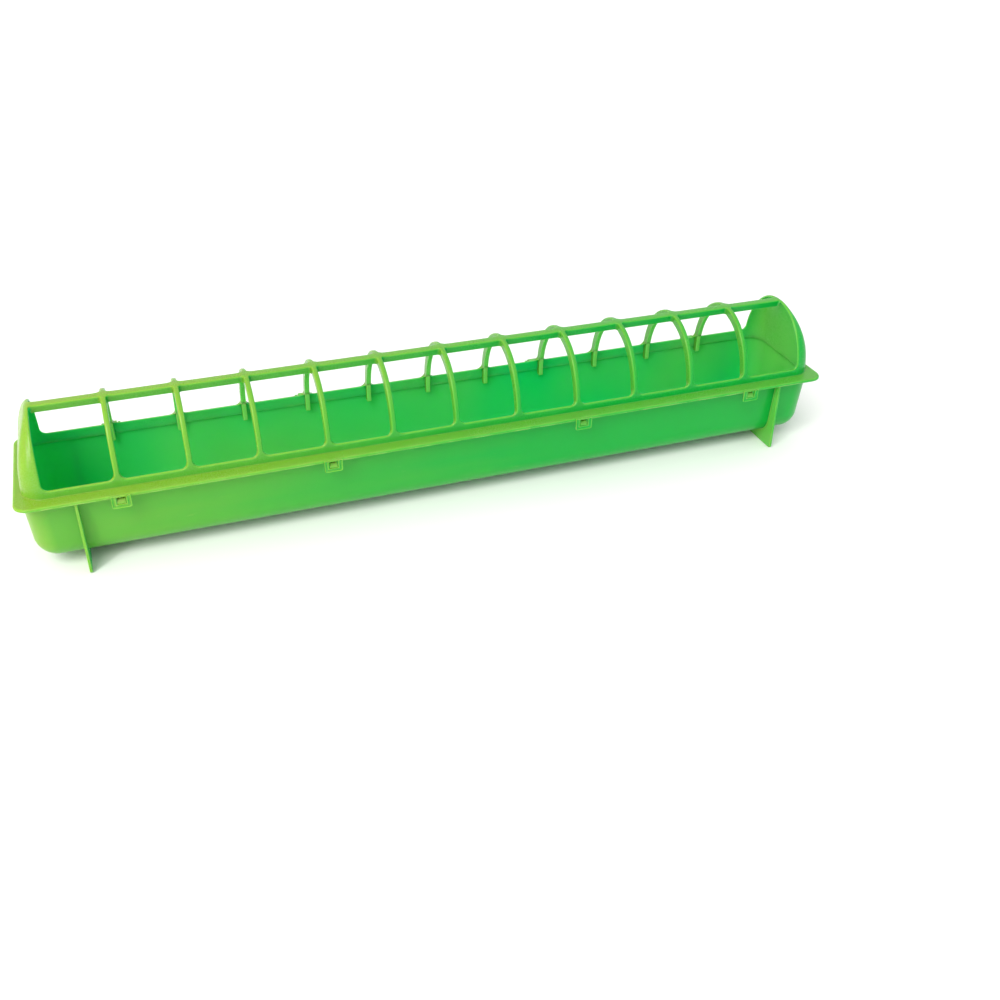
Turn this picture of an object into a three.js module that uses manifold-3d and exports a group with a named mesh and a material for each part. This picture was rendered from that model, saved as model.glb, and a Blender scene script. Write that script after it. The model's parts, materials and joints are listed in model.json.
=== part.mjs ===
// Long poultry trough feeder: an open trough, a ribbed grille cover that is hinged along the
// back rim and latched along the front rim, and two cross plates that it stands on.
// Millimetres, +X along the trough, +Y to the back, +Z up. The pieces are drawn with Z = 0 at
// the top face of the cover's rim, and the finished feeder stands with its feet on Z = 0.
import * as THREE from 'three';
import { mergeVertices } from 'three/addons/utils/BufferGeometryUtils.js';
import Module from 'manifold-3d';

const wasm = await Module();
wasm.setup();

// ---- driving dimensions ----
const GAP = 0.3; // clearance between pieces that touch
const PITCH = 78; // spacing of the ribs
const BAYS = 12; // feeding bays on each side
const GRILLE_HALF = (PITCH * BAYS) / 2; // from the middle to the end of the last bay
const WALL = 2.5; // moulded wall thickness

const RIM = { halfLength: 500, halfWidth: 84, corner: 16, sheet: 2.2, lip: 1.6, lipDrop: 3.5 };
const ARCH = { halfLength: 491, halfWidth: 68, height: 82, corner: 24, endLean: 20, topCorner: 9 };
const SKIRT_DROP = 4.6; // how far the cover's wall reaches down inside the trough
const RAIL_TOP = 8.8; // lower edge of the feeding bays
const RIB = { width: 6, depth: 10.3, tongueBottom: -11 };
const RIDGE = { halfWidth: 6, depth: 9.2, drop: 1.4 }; // the ribs cross it as low bands

const TROUGH = { depth: 85, fillet: 26, draft: 4.8, endDraft: 3, flange: 2.4, corner: 26.5 };
const TROUGH_TOP = -2.5; // the trough's flange lies under the cover's rim
const FOOT = { x: 437, thickness: 3, halfWidth: 80, bottom: -98 };

const FASTENED_RIBS = [1, 4, 8, 11]; // latches and hinges sit at these ribs
const TAB = { width: 21, thickness: 2.4, bottom: -15.5 };
const WINDOW = { width: 10.4, top: -1.5, bottom: -10.5 }; // the hole through each tab
const NOSE = { width: 9, inner: 76, shoulder: 83, tip: 86.3, top: -5.2, rampEnd: -9, bottom: -10.2 };
const HINGE = { y: 88.2, z: -4.5, pin: 2, lug: 3, hookWall: 2, clearance: 0.4, hookWidth: 14, lugWidth: 3 };

const CORNER_STEPS = 6;
const ARC_STEPS = 14;
const FAR = 2000; // larger than the feeder, for cutting boxes

// ---- solids ----
function toManifold(geometry) {
  const bare = geometry.clone();
  bare.deleteAttribute('normal');
  bare.deleteAttribute('uv');
  const merged = mergeVertices(bare, 1e-4);
  return new wasm.Manifold(new wasm.Mesh({
    numProp: 3,
    vertProperties: new Float32Array(merged.attributes.position.array),
    triVerts: new Uint32Array(merged.index.array),
  }));
}

function toGeometry(solid) {
  const mesh = solid.getMesh();
  const geometry = new THREE.BufferGeometry();
  geometry.setAttribute('position', new THREE.BufferAttribute(new Float32Array(mesh.vertProperties), 3));
  geometry.setIndex(new THREE.BufferAttribute(new Uint32Array(mesh.triVerts), 1));
  return geometry;
}

// A box between two corners.
function boxBetween(low, high) {
  const size = new THREE.Vector3().subVectors(high, low);
  const geometry = new THREE.BoxGeometry(size.x, size.y, size.z);
  geometry.translate(...new THREE.Vector3().addVectors(low, high).multiplyScalar(0.5).toArray());
  return geometry;
}

const at = (x, y, z) => new THREE.Vector3(x, y, z);

// The rounded rectangle that a horizontal cut through the feeder makes, as one closed ring.
function planRing(halfLength, halfWidth, corner, z) {
  const r = Math.min(corner, halfWidth * 0.98);
  const ring = [];
  for (const [sx, sy, start] of [[1, 1, 0], [-1, 1, 1], [-1, -1, 2], [1, -1, 3]]) {
    for (let i = 0; i <= CORNER_STEPS; i += 1) {
      const turn = ((start + i / CORNER_STEPS) * Math.PI) / 2;
      ring.push(at(sx * (halfLength - r) + r * Math.cos(turn), sy * (halfWidth - r) + r * Math.sin(turn), z));
    }
  }
  return ring;
}

// Skins a stack of rings. Capped, it is a filled body; closed, the last ring joins the first.
function loft(rings, closed) {
  const count = rings[0].length;
  const positions = rings.flat().flatMap((p) => [p.x, p.y, p.z]);
  const triangles = [];
  const steps = closed ? rings.length : rings.length - 1;
  for (let level = 0; level < steps; level += 1) {
    const here = level * count;
    const next = ((level + 1) % rings.length) * count;
    for (let i = 0; i < count; i += 1) {
      const j = (i + 1) % count;
      triangles.push(here + i, here + j, next + j, here + i, next + j, next + i);
    }
  }
  if (!closed) {
    const top = (rings.length - 1) * count;
    for (let i = 1; i < count - 1; i += 1) {
      triangles.push(0, i + 1, i, top, top + i, top + i + 1);
    }
  }
  const geometry = new THREE.BufferGeometry();
  geometry.setAttribute('position', new THREE.Float32BufferAttribute(positions, 3));
  geometry.setIndex(signedVolume(positions, triangles) < 0 ? triangles.reverse() : triangles);
  return geometry;
}

function signedVolume(positions, triangles) {
  const corner = (n) => at(...positions.slice(3 * n, 3 * n + 3));
  let volume = 0;
  for (let i = 0; i < triangles.length; i += 3) {
    const [a, b, c] = [corner(triangles[i]), corner(triangles[i + 1]), corner(triangles[i + 2])];
    volume += a.dot(b.cross(c)) / 6;
  }
  return volume;
}

// A section drawn in (y, z) and carried along X from the middle by half of its length each way.
function alongX(outline, length, middle = 0) {
  const shape = new THREE.Shape(outline.map(([y, z]) => new THREE.Vector2(y, z)));
  const geometry = new THREE.ExtrudeGeometry(shape, { depth: length, bevelEnabled: false, steps: 1 });
  geometry.translate(0, 0, -length / 2);
  geometry.applyMatrix4(new THREE.Matrix4().makeBasis(at(0, 1, 0), at(0, 0, 1), at(1, 0, 0)));
  geometry.translate(middle, 0, 0);
  return geometry;
}

function arcPoints(centreY, centreZ, radiusY, radiusZ, from, to, steps) {
  return Array.from({ length: steps + 1 }, (_, i) => {
    const turn = from + ((to - from) * i) / steps;
    return [centreY + radiusY * Math.cos(turn), centreZ + radiusZ * Math.sin(turn)];
  });
}

const ribX = (number) => (number - BAYS / 2) * PITCH;

// ---- trough ----
// Wall position at a depth below the rim: it draws in as it goes down.
function troughRing(inset, z) {
  const share = (TROUGH_TOP - z) / (TROUGH.depth - TROUGH.fillet);
  const width = ARCH.halfWidth + GAP + WALL - TROUGH.draft * share;
  const length = ARCH.halfLength + GAP + WALL - TROUGH.endDraft * share;
  return planRing(length - inset, width - inset, Math.max(TROUGH.corner - inset, 2), z);
}

function troughSkin(thickness, topZ) {
  const filletTop = -TROUGH.depth + TROUGH.fillet;
  const radius = TROUGH.fillet - thickness;
  const rings = [troughRing(thickness, topZ)];
  for (let i = 0; i <= CORNER_STEPS; i += 1) {
    const turn = ((CORNER_STEPS - i) / CORNER_STEPS) * (Math.PI / 2);
    const z = filletTop - radius * Math.cos(turn);
    const ring = troughRing(thickness + radius * (1 - Math.sin(turn)), filletTop);
    ring.forEach((p) => { p.z = z; });
    rings.push(ring);
  }
  return rings;
}

function troughGeometry() {
  const flangeUnder = TROUGH_TOP - TROUGH.flange;
  const reach = RIM.lip + GAP;
  const flange = [TROUGH_TOP, flangeUnder].map(
    (z) => planRing(RIM.halfLength - reach, RIM.halfWidth - reach, RIM.corner - reach, z));
  const inside = troughSkin(WALL, TROUGH_TOP).reverse();
  return loft([...inside, ...flange, ...troughSkin(0, flangeUnder)], false);
}

// A wedge under the trough's front flange that the latch tab snaps over.
function noseGeometry(x) {
  const outline = [[-NOSE.inner, NOSE.top], [-NOSE.shoulder, NOSE.top], [-NOSE.tip, NOSE.rampEnd],
    [-NOSE.tip, NOSE.bottom], [-NOSE.inner, NOSE.bottom]];
  return alongX(outline, NOSE.width, x);
}

// A hinge pin held between two lugs on the trough's back flange.
function bracketGeometry(x) {
  const edge = RIM.halfWidth - RIM.lip;
  const neck = [[edge, -6.9], [HINGE.y, -6.9], [HINGE.y, -3.9], [edge, -3.9]];
  const round = arcPoints(HINGE.y, HINGE.z, HINGE.lug, HINGE.lug, 0, 2 * Math.PI, 20).slice(0, -1);
  const pinOutline = arcPoints(HINGE.y, HINGE.z, HINGE.pin, HINGE.pin, 0, 2 * Math.PI, 20).slice(0, -1);
  const lugX = HINGE.hookWidth / 2 + 1 + HINGE.lugWidth / 2;
  let solid = toManifold(alongX(pinOutline, 2 * lugX, x));
  for (const side of [-1, 1]) {
    solid = solid.add(toManifold(alongX(neck, HINGE.lugWidth, x + side * lugX)));
    solid = solid.add(toManifold(alongX(round, HINGE.lugWidth, x + side * lugX)));
  }
  return toGeometry(solid);
}

// A cross plate that cradles the trough and stands on the ground.
function footGeometry(x) {
  const wallTop = ARCH.halfWidth + GAP + WALL;
  const filletTop = -TROUGH.depth + TROUGH.fillet;
  const drawnIn = (TROUGH.draft * (TROUGH_TOP - filletTop)) / (TROUGH.depth - TROUGH.fillet);
  const radius = TROUGH.fillet + GAP;
  const centre = wallTop - drawnIn - TROUGH.fillet;
  const topZ = TROUGH_TOP - TROUGH.flange - GAP;
  const cradle = arcPoints(centre, filletTop, radius, radius, 0, -Math.PI / 2, ARC_STEPS);
  const half = [[wallTop + GAP, topZ], ...cradle];
  const mirrored = half.map(([y, z]) => [-y, z]).reverse();
  const outline = [...half, ...mirrored, [-FOOT.halfWidth, topZ], [-FOOT.halfWidth, FOOT.bottom],
    [FOOT.halfWidth, FOOT.bottom], [FOOT.halfWidth, topZ]];
  return alongX(outline, FOOT.thickness, x);
}

// ---- cover ----
// The arched cover as horizontal cuts: an ellipse in section, its end walls curving inwards.
function domeRings(inset) {
  const rings = [];
  for (let i = 0; i <= ARC_STEPS; i += 1) {
    const turn = (i / ARC_STEPS) * (Math.PI / 2) * 0.97;
    const rise = Math.sin(turn);
    const corner = ARCH.corner + (ARCH.topCorner - ARCH.corner) * rise - inset;
    const length = ARCH.halfLength - ARCH.endLean * rise ** 2 - inset;
    const width = (ARCH.halfWidth - inset) * Math.cos(turn);
    rings.push(planRing(length, width, Math.max(corner, 1), (ARCH.height - inset) * rise));
  }
  return rings;
}

// The rim: flange, down-turned lip and the skirt that drops inside the trough.
function rimGeometry() {
  const { sheet, lip, lipDrop } = RIM;
  const ringOf = (shape) => (inset, z) => planRing(
    shape.halfLength - inset, shape.halfWidth - inset, shape.corner - inset, z);
  const wall = ringOf(ARCH);
  const edge = ringOf(RIM);
  return loft([wall(WALL, -SKIRT_DROP), wall(0, -SKIRT_DROP), wall(0, -sheet), edge(lip, -sheet),
    edge(lip, -lipDrop), edge(0, -lipDrop), edge(0, 0), wall(WALL, 0)], true);
}

function coverShell() {
  const hollow = domeRings(WALL);
  const below = hollow[0].map((p) => at(p.x, p.y, -SKIRT_DROP - 1));
  const outer = toManifold(loft(domeRings(0), false)).add(toManifold(rimGeometry()));
  return outer.subtract(toManifold(loft([below, ...hollow], false)));
}

const shell = coverShell();
const pieceOfShell = (low, high) => toGeometry(shell.intersect(toManifold(boxBetween(low, high))));

function endGeometry(side) {
  const cut = GRILLE_HALF + GAP / 2;
  return side < 0 ? pieceOfShell(at(-FAR, -FAR, -FAR), at(-cut, FAR, FAR))
    : pieceOfShell(at(cut, -FAR, -FAR), at(FAR, FAR, FAR));
}

// The upright wall below the feeding bays on one side.
function railGeometry(side) {
  const cut = GRILLE_HALF - GAP / 2;
  return side < 0 ? pieceOfShell(at(-cut, -ARCH.halfWidth, -FAR), at(cut, 0, RAIL_TOP))
    : pieceOfShell(at(-cut, 0, -FAR), at(cut, ARCH.halfWidth, RAIL_TOP));
}

// The flat rim outside that wall, with its down-turned lip.
function rimStripGeometry(side) {
  const cut = GRILLE_HALF - GAP / 2;
  const inner = ARCH.halfWidth + GAP;
  return side < 0 ? pieceOfShell(at(-cut, -FAR, -FAR), at(cut, -inner, FAR))
    : pieceOfShell(at(-cut, inner, -FAR), at(cut, FAR, FAR));
}

function ridgeOutline(drop) {
  const from = Math.acos(RIDGE.halfWidth / ARCH.halfWidth);
  const top = arcPoints(0, -drop, ARCH.halfWidth, ARCH.height, from, Math.PI - from, 4);
  const bottom = ARCH.height - RIDGE.depth;
  return [...top, [-RIDGE.halfWidth, bottom], [RIDGE.halfWidth, bottom]];
}

function ridgeGeometry() {
  let bar = toManifold(alongX(ridgeOutline(RIDGE.drop), 2 * GRILLE_HALF - GAP));
  for (let number = 1; number < BAYS; number += 1) {
    bar = bar.add(toManifold(alongX(ridgeOutline(0), RIB.width, ribX(number))));
  }
  return toGeometry(bar);
}

// One side of a hoop: from the ridge bar down to the rail, with a tongue inside the trough.
function ribGeometry(side, x) {
  const outerTop = Math.acos((RIDGE.halfWidth + GAP) / ARCH.halfWidth);
  const outerFoot = Math.asin((RAIL_TOP + GAP) / ARCH.height);
  const innerY = ARCH.halfWidth - RIB.depth;
  const innerZ = ARCH.height - RIB.depth;
  const innerTop = Math.acos((RIDGE.halfWidth + GAP) / innerY);
  const lean = Math.asin(RAIL_TOP / (ARCH.height - WALL));
  const inside = (ARCH.halfWidth - WALL) * Math.cos(lean) - GAP;
  const outer = arcPoints(0, 0, ARCH.halfWidth, ARCH.height, outerTop, outerFoot, ARC_STEPS);
  const inner = arcPoints(0, 0, innerY, innerZ, 0, innerTop, ARC_STEPS);
  const tongue = [[inside, RAIL_TOP + GAP], [inside, RIB.tongueBottom], [innerY, RIB.tongueBottom]];
  const outline = [...outer, ...tongue, ...inner].map(([y, z]) => [side * y, z]);
  return alongX(outline, RIB.width, x);
}

// A tab on the cover's front lip, with the window that the trough's nose snaps into.
function tabGeometry(x) {
  const inner = -(RIM.halfWidth + GAP);
  const outer = inner - TAB.thickness;
  const plate = boxBetween(at(x - TAB.width / 2, outer, TAB.bottom), at(x + TAB.width / 2, inner, -GAP));
  const half = WINDOW.width / 2;
  const hole = boxBetween(at(x - half, outer - 1, WINDOW.bottom), at(x + half, inner + 1, WINDOW.top));
  return toGeometry(toManifold(plate).subtract(toManifold(hole)));
}

// A hook on the cover's back lip that wraps over the hinge pin.
function hookGeometry(x) {
  const inner = HINGE.pin + HINGE.clearance;
  const outer = inner + HINGE.hookWall;
  const from = THREE.MathUtils.degToRad(150);
  const to = THREE.MathUtils.degToRad(-130);
  const curl = [...arcPoints(HINGE.y, HINGE.z, outer, outer, from, to, ARC_STEPS),
    ...arcPoints(HINGE.y, HINGE.z, inner, inner, to, from, ARC_STEPS)];
  const lipFace = RIM.halfWidth + GAP;
  const root = [[lipFace, -0.4], [HINGE.y, -0.4], [HINGE.y, -1.6], [lipFace, -2.8]];
  const solid = toManifold(alongX(curl, HINGE.hookWidth, x));
  return toGeometry(solid.add(toManifold(alongX(root, HINGE.hookWidth, x))));
}

// ---- assembly ----
const LIME = 0x63c131;
const feeder = new THREE.Group();

function addPiece(name, geometry) {
  const material = new THREE.MeshStandardMaterial({ color: LIME, roughness: 0.28, metalness: 0 });
  const piece = new THREE.Mesh(geometry, material);
  piece.name = name;
  feeder.add(piece);
}

addPiece('trough', troughGeometry());
addPiece('left_foot', footGeometry(-FOOT.x));
addPiece('right_foot', footGeometry(FOOT.x));
addPiece('front_rail', railGeometry(-1));
addPiece('rear_rail', railGeometry(1));
addPiece('front_rim', rimStripGeometry(-1));
addPiece('rear_rim', rimStripGeometry(1));
addPiece('left_end_wall', endGeometry(-1));
addPiece('right_end_wall', endGeometry(1));
addPiece('ridge_bar', ridgeGeometry());
for (let number = 1; number < BAYS; number += 1) {
  const label = String(number).padStart(2, '0');
  addPiece(`front_rib_${label}`, ribGeometry(-1, ribX(number)));
  addPiece(`rear_rib_${label}`, ribGeometry(1, ribX(number)));
}
FASTENED_RIBS.forEach((rib, index) => {
  addPiece(`latch_tab_${index + 1}`, tabGeometry(ribX(rib)));
  addPiece(`latch_nose_${index + 1}`, noseGeometry(ribX(rib)));
  addPiece(`hinge_hook_${index + 1}`, hookGeometry(ribX(rib)));
  addPiece(`hinge_pin_${index + 1}`, bracketGeometry(ribX(rib)));
});

// The feet stand on Z = 0, and the origin is in the middle of the outline.
const frontmost = -(RIM.halfWidth + GAP + TAB.thickness);
const rearmost = HINGE.y + HINGE.pin + HINGE.clearance + HINGE.hookWall;
feeder.position.set(0, -(frontmost + rearmost) / 2, -FOOT.bottom);

const model = new THREE.Group();
model.add(feeder);
export default model;
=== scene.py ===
"""The looks of a long poultry trough feeder: a moulded trough with a flange, an arched grille
cover hinged along its back rim and latched along its front rim, and two cross feet.

Metres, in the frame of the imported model: +X along the trough, +Y to the hinged side, +Z up.
The mouldings are worked out around the middle of the arch at the height of the rim's top face.
"""

import json
import math

import bmesh
import bpy
import numpy as np
from mathutils import Matrix, Vector


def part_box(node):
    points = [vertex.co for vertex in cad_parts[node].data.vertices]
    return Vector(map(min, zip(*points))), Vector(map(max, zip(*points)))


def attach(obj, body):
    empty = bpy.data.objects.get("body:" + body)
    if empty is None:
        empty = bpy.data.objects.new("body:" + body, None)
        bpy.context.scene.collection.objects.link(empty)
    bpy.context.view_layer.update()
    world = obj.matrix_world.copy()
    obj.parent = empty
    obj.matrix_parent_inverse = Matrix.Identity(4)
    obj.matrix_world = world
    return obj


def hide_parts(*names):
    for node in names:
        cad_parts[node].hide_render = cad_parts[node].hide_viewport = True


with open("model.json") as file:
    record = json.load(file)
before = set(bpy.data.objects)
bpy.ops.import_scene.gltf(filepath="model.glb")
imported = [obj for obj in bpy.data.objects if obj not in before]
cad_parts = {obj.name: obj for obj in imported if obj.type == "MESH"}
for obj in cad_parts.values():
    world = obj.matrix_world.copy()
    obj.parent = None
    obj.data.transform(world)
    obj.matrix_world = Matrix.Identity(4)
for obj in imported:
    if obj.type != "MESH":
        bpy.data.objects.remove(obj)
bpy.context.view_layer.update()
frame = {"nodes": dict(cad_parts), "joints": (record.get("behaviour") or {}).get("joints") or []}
MM = 0.001

# ---- sizes read from the frame ----
ridge_low, ridge_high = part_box("ridge_bar")
rail_low, rail_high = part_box("front_rail")
rim_low, rim_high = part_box("front_rim")
trough_low, trough_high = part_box("trough")
rib_low, rib_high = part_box("front_rib_01")
RIB_COUNT = sum(name.startswith("front_rib_") for name in frame["nodes"])
RIB_BOXES = [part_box(f"front_rib_{number:02d}") for number in range(1, RIB_COUNT + 1)]
RIB_X = [(low.x + high.x) / 2 for low, high in RIB_BOXES]
FASTENINGS = sum(name.startswith("latch_tab_") for name in frame["nodes"])

MIDDLE_Y = (ridge_low.y + ridge_high.y) / 2
RIM_TOP = rim_high.z
ARCH_WIDTH = MIDDLE_Y - rail_low.y  # half of the arch's span at the rim
ARCH_HEIGHT = ridge_high.z - RIM_TOP
RAIL_TOP = rail_high.z - RIM_TOP
BAY_END = ridge_high.x  # where the last feeding bay ends
RIM_WIDTH = MIDDLE_Y - rim_low.y
RIM_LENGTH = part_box("right_end_wall")[1].x
LIP_BOTTOM = rim_low.z - RIM_TOP
SKIRT_BOTTOM = rail_low.z - RIM_TOP
TONGUE_BOTTOM = rib_low.z - RIM_TOP
RIB_HALF = (rib_high.x - rib_low.x) / 2
HALF_RIBS = [x for x in RIB_X if x > -RIB_HALF]  # the middle rib and those to its right
TROUGH_TOP = trough_high.z - RIM_TOP
TROUGH_BOTTOM = trough_low.z - RIM_TOP
FLANGE_WIDTH = MIDDLE_Y - trough_low.y
FLANGE_LENGTH = trough_high.x
foot_low, foot_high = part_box("left_foot")
FOOT_X = -(foot_low.x + foot_high.x) / 2
FOOT_THICKNESS = foot_high.x - foot_low.x
FOOT_WIDTH = MIDDLE_Y - foot_low.y
FOOT_TOP = foot_high.z - RIM_TOP
FOOT_BOTTOM = foot_low.z - RIM_TOP
tab_low, tab_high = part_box("latch_tab_1")
TAB_HALF = (tab_high.x - tab_low.x) / 2
TAB_OUTER, TAB_INNER = tab_low.y - MIDDLE_Y, tab_high.y - MIDDLE_Y
TAB_TOP, TAB_BOTTOM = tab_high.z - RIM_TOP, tab_low.z - RIM_TOP
nose_low, nose_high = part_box("latch_nose_1")
NOSE_HALF = (nose_high.x - nose_low.x) / 2
NOSE_TIP, NOSE_ROOT = nose_low.y - MIDDLE_Y, nose_high.y - MIDDLE_Y
NOSE_TOP, NOSE_BOTTOM = nose_high.z - RIM_TOP, nose_low.z - RIM_TOP
hinge_place = next(joint for joint in frame["joints"] if joint["name"] == "cover_hinge")["pos_m"]
HINGE_Y, HINGE_Z = hinge_place[1] - MIDDLE_Y, hinge_place[2] - RIM_TOP
hook_low, hook_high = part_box("hinge_hook_1")
HOOK_HALF = (hook_high.x - hook_low.x) / 2
HOOK_ROOT = hook_low.y - MIDDLE_Y
bracket_low, bracket_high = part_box("hinge_pin_1")
BRACKET_HALF = (bracket_high.x - bracket_low.x) / 2
BRACKET_ROOT = bracket_low.y - MIDDLE_Y

# ---- moulded detail ----
WELD = 0.004 * MM  # points closer than this are one point
SAME_PLACE = 1e-9  # and points of an outline closer than this lie on one line
WALL = 2.5 * MM
COVER_WALL = WALL + 0.2 * MM
RIB_DEPTH = 10.2 * MM
RIDGE_DEPTH = 9.2 * MM
RIDGE_HALF = 6.0 * MM  # half of the ridge bar's width
RIDGE_DROP = 0.7 * MM  # the ridge bar lies this far below the bands that cross it
BAND_FLARE = 9 * MM  # the ridge bar is at its lowest this far from a band's middle
EDGE_ROUND = 1.7 * MM  # outer edge of the bays
INNER_ROUND = 0.8 * MM  # inner edge of the bays
RIB_CROWN = 0.35 * MM
RIB_SWELL = 9 * MM  # a rib reaches its full depth over this length, from just below the bay
BAY_FOOT_ROUND = 7.5 * MM  # lower corners of the bays
BAY_HEAD_ROUND = 3.5 * MM  # upper corners of the bays
END_WALL_X = RIM_LENGTH - 9 * MM  # the end wall at the rim
END_LEAN = 20 * MM  # how far the end wall draws in from the rim to the top of the arch
END_ROUND_FOOT = 24 * MM  # the rounding between side and end wall at the rim
END_ROUND_HEAD = 9 * MM  # and at the top
END_SEAM = BAY_END + 2.3 * MM  # where the last bay's surroundings pass into the end
RIM_CORNER = 16 * MM
RIM_SHEET = 2.2 * MM
RIM_FALL = 0.1 * MM  # the rim drops this much towards its edge
RIM_EDGE_ROUND = 2.0 * MM
LIP = 1.6 * MM
LIP_ROUND = 0.5 * MM
RAIL_FOOT_ROUND = 1.1 * MM
TONGUE_CLIMB = 6.5 * MM  # a tongue begins this far above the rail
TONGUE_SLACK = 0.6 * MM  # and is this much narrower than its rib
PLAY = 0.3 * MM  # clearance between the cover and the trough
TROUGH_ROUND = 26 * MM  # along the bottom edges
TROUGH_CORNER = 26.5 * MM
TROUGH_DRAFT = 4.8 * MM  # how far the sides draw in from the rim to the rounded bottom edge
TROUGH_END_DRAFT = 3 * MM
TROUGH_MOUTH_ROUND = 0.9 * MM  # rounding of the trough's mouth
FLANGE_SHEET = 2.4 * MM
FLANGE_CORNER = 14.1 * MM
FLANGE_EDGE_ROUND = 0.9 * MM
FLANGE_UNDER_ROUND = 0.5 * MM
FLANGE_ROOT_ROUND = 1.6 * MM
FOOT_CORNER = 3.2 * MM
FOOT_BORDER = 2.4 * MM
FOOT_SUNK = 0.5 * MM  # the web lies this far below the border
WINDOW_HALF, WINDOW_TOP, WINDOW_BOTTOM = 5.2 * MM, -1.5 * MM, -10.5 * MM
PIN_RADIUS = 2 * MM
LUG_RADIUS = 3 * MM
LUG_WIDTH = 3 * MM
HOOK_INNER, HOOK_OUTER = 2.4 * MM, 4.3 * MM

SIDE_STEPS = 30  # up a rib
LEVEL_STEPS = 14  # along a rail or the ridge, from rib to rib
CORNER_STEPS = 8
ROUND_STEPS = 5
LENGTH_STEPS, BREADTH_STEPS = 40, 8  # along the trough's sides and ends


def smooth(low, high, value):
    """0 at low, 1 at high, with a gentle start and end."""
    t = np.clip((value - low) / (high - low), 0.0, 1.0)
    return t * t * (3 - 2 * t)


class Skin:
    """Collects sheets of quads, then becomes one welded mesh."""

    def __init__(self):
        self.points, self.faces, self.count = [], [], 0

    def sheet(self, rows, loop=False):
        """Quads between neighbouring rows of points; a loop also joins each row's two ends."""
        rows = np.asarray(rows, float)
        height, width = rows.shape[:2]
        index = self.count + np.arange(height * width).reshape(height, width)
        ahead = np.roll(index, -1, axis=1)
        used = width if loop else width - 1
        quads = [index[:-1, :used], ahead[:-1, :used], ahead[1:, :used], index[1:, :used]]
        self.points.append(rows.reshape(-1, 3))
        self.faces.extend(np.stack(quads, -1).reshape(-1, 4).tolist())
        self.count += height * width

    def cap(self, ring):
        """One face that closes a ring of points."""
        ring = np.asarray(ring, float)
        self.points.append(ring)
        self.faces.append(list(range(self.count, self.count + len(ring))))
        self.count += len(ring)

    def mirrored(self, axes):
        """Adds the mirror images of everything so far across the given axes, one after another."""
        for axis in axes:
            flip = np.ones(3)
            flip[axis] = -1
            points = np.vstack(self.points)
            faces = [[i + self.count for i in face] for face in self.faces]
            self.points.append(points * flip)
            self.faces += faces
            self.count *= 2

    def build(self, name):
        """The welded, smoothly shaded piece, moved from the arch's middle to its place."""
        mesh = bpy.data.meshes.new(name)
        points = np.vstack(self.points) + np.array((0, MIDDLE_Y, RIM_TOP))
        mesh.from_pydata(points.tolist(), [], self.faces)
        work = bmesh.new()
        work.from_mesh(mesh)
        bmesh.ops.remove_doubles(work, verts=work.verts, dist=WELD)
        bmesh.ops.recalc_face_normals(work, faces=work.faces)
        for face in work.faces:
            face.smooth = True
        work.to_mesh(mesh)
        work.free()
        piece = bpy.data.objects.new(name, mesh)
        bpy.context.scene.collection.objects.link(piece)
        even = piece.modifiers.new("even_shading", "WEIGHTED_NORMAL")
        even.keep_sharp = True
        return piece


# ---- the arch, unrolled ----
# A point of the cover is given by how far along it lies (u), how far up the arch it lies from
# the rim (s), and how deep it lies below the outer face.
turns = np.linspace(0, math.pi / 2, 3000)
arch_y, arch_z = -ARCH_WIDTH * np.cos(turns), ARCH_HEIGHT * np.sin(turns)
climbed = np.concatenate([[0], np.cumsum(np.hypot(np.diff(arch_y), np.diff(arch_z)))])
CREST = climbed[-1]  # the s of the top of the arch


def climb_to_height(z):
    """The s at which the outer face reaches a height."""
    return float(np.interp(z, arch_z, climbed))


def end_wall_x(z):
    """The end wall leans in more and more towards the top."""
    return END_WALL_X - END_LEAN * (z / ARCH_HEIGHT) ** 2


def on_cover(u, s, depth):
    """Points of the cover, the rounded corner towards the end wall included, for u >= 0."""
    u, s, depth = np.broadcast_arrays(u, s, depth)
    turn = np.interp(s, climbed, turns)
    y, z = -ARCH_WIDTH * np.cos(turn), ARCH_HEIGHT * np.sin(turn)
    out = np.stack([np.zeros_like(y), -np.cos(turn) / ARCH_WIDTH, np.sin(turn) / ARCH_HEIGHT], -1)
    out /= np.linalg.norm(out, axis=-1, keepdims=True)
    round_off = END_ROUND_FOOT + (END_ROUND_HEAD - END_ROUND_FOOT) * np.sin(turn)
    heart = np.stack([y, z], -1) - round_off[..., None] * out[..., 1:]
    slope = 2 * END_LEAN * heart[..., 1] / ARCH_HEIGHT**2
    steep = np.sqrt(1 + slope**2)
    heart_x = end_wall_x(heart[..., 1]) - round_off * steep
    end_out = np.stack([1 / steep, np.zeros_like(y), slope / steep], -1)
    whole = np.arccos(np.clip((out * end_out).sum(-1), -1, 1))
    share = np.clip((u - heart_x) / (round_off * whole), 0, 1)
    facing = (np.sin((1 - share) * whole)[..., None] * out
              + np.sin(share * whole)[..., None] * end_out) / np.sin(whole)[..., None]
    ball = np.stack([np.minimum(u, heart_x), heart[..., 0], heart[..., 1]], -1)
    return ball + (round_off - depth)[..., None] * facing


def end_of_corner(s):
    """The u at which the rounded corner meets the end wall."""
    turn = np.interp(s, climbed, turns)
    out = np.stack([-np.cos(turn) / ARCH_WIDTH, np.sin(turn) / ARCH_HEIGHT], -1)
    out /= np.linalg.norm(out, axis=-1, keepdims=True)
    round_off = END_ROUND_FOOT + (END_ROUND_HEAD - END_ROUND_FOOT) * np.sin(turn)
    heart_z = ARCH_HEIGHT * np.sin(turn) - round_off * out[..., 1]
    slope = 2 * END_LEAN * heart_z / ARCH_HEIGHT**2
    steep = np.sqrt(1 + slope**2)
    whole = np.arccos(np.clip(out[..., 1] * slope / steep, -1, 1))
    return end_wall_x(heart_z) - round_off * steep + round_off * whole


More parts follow.
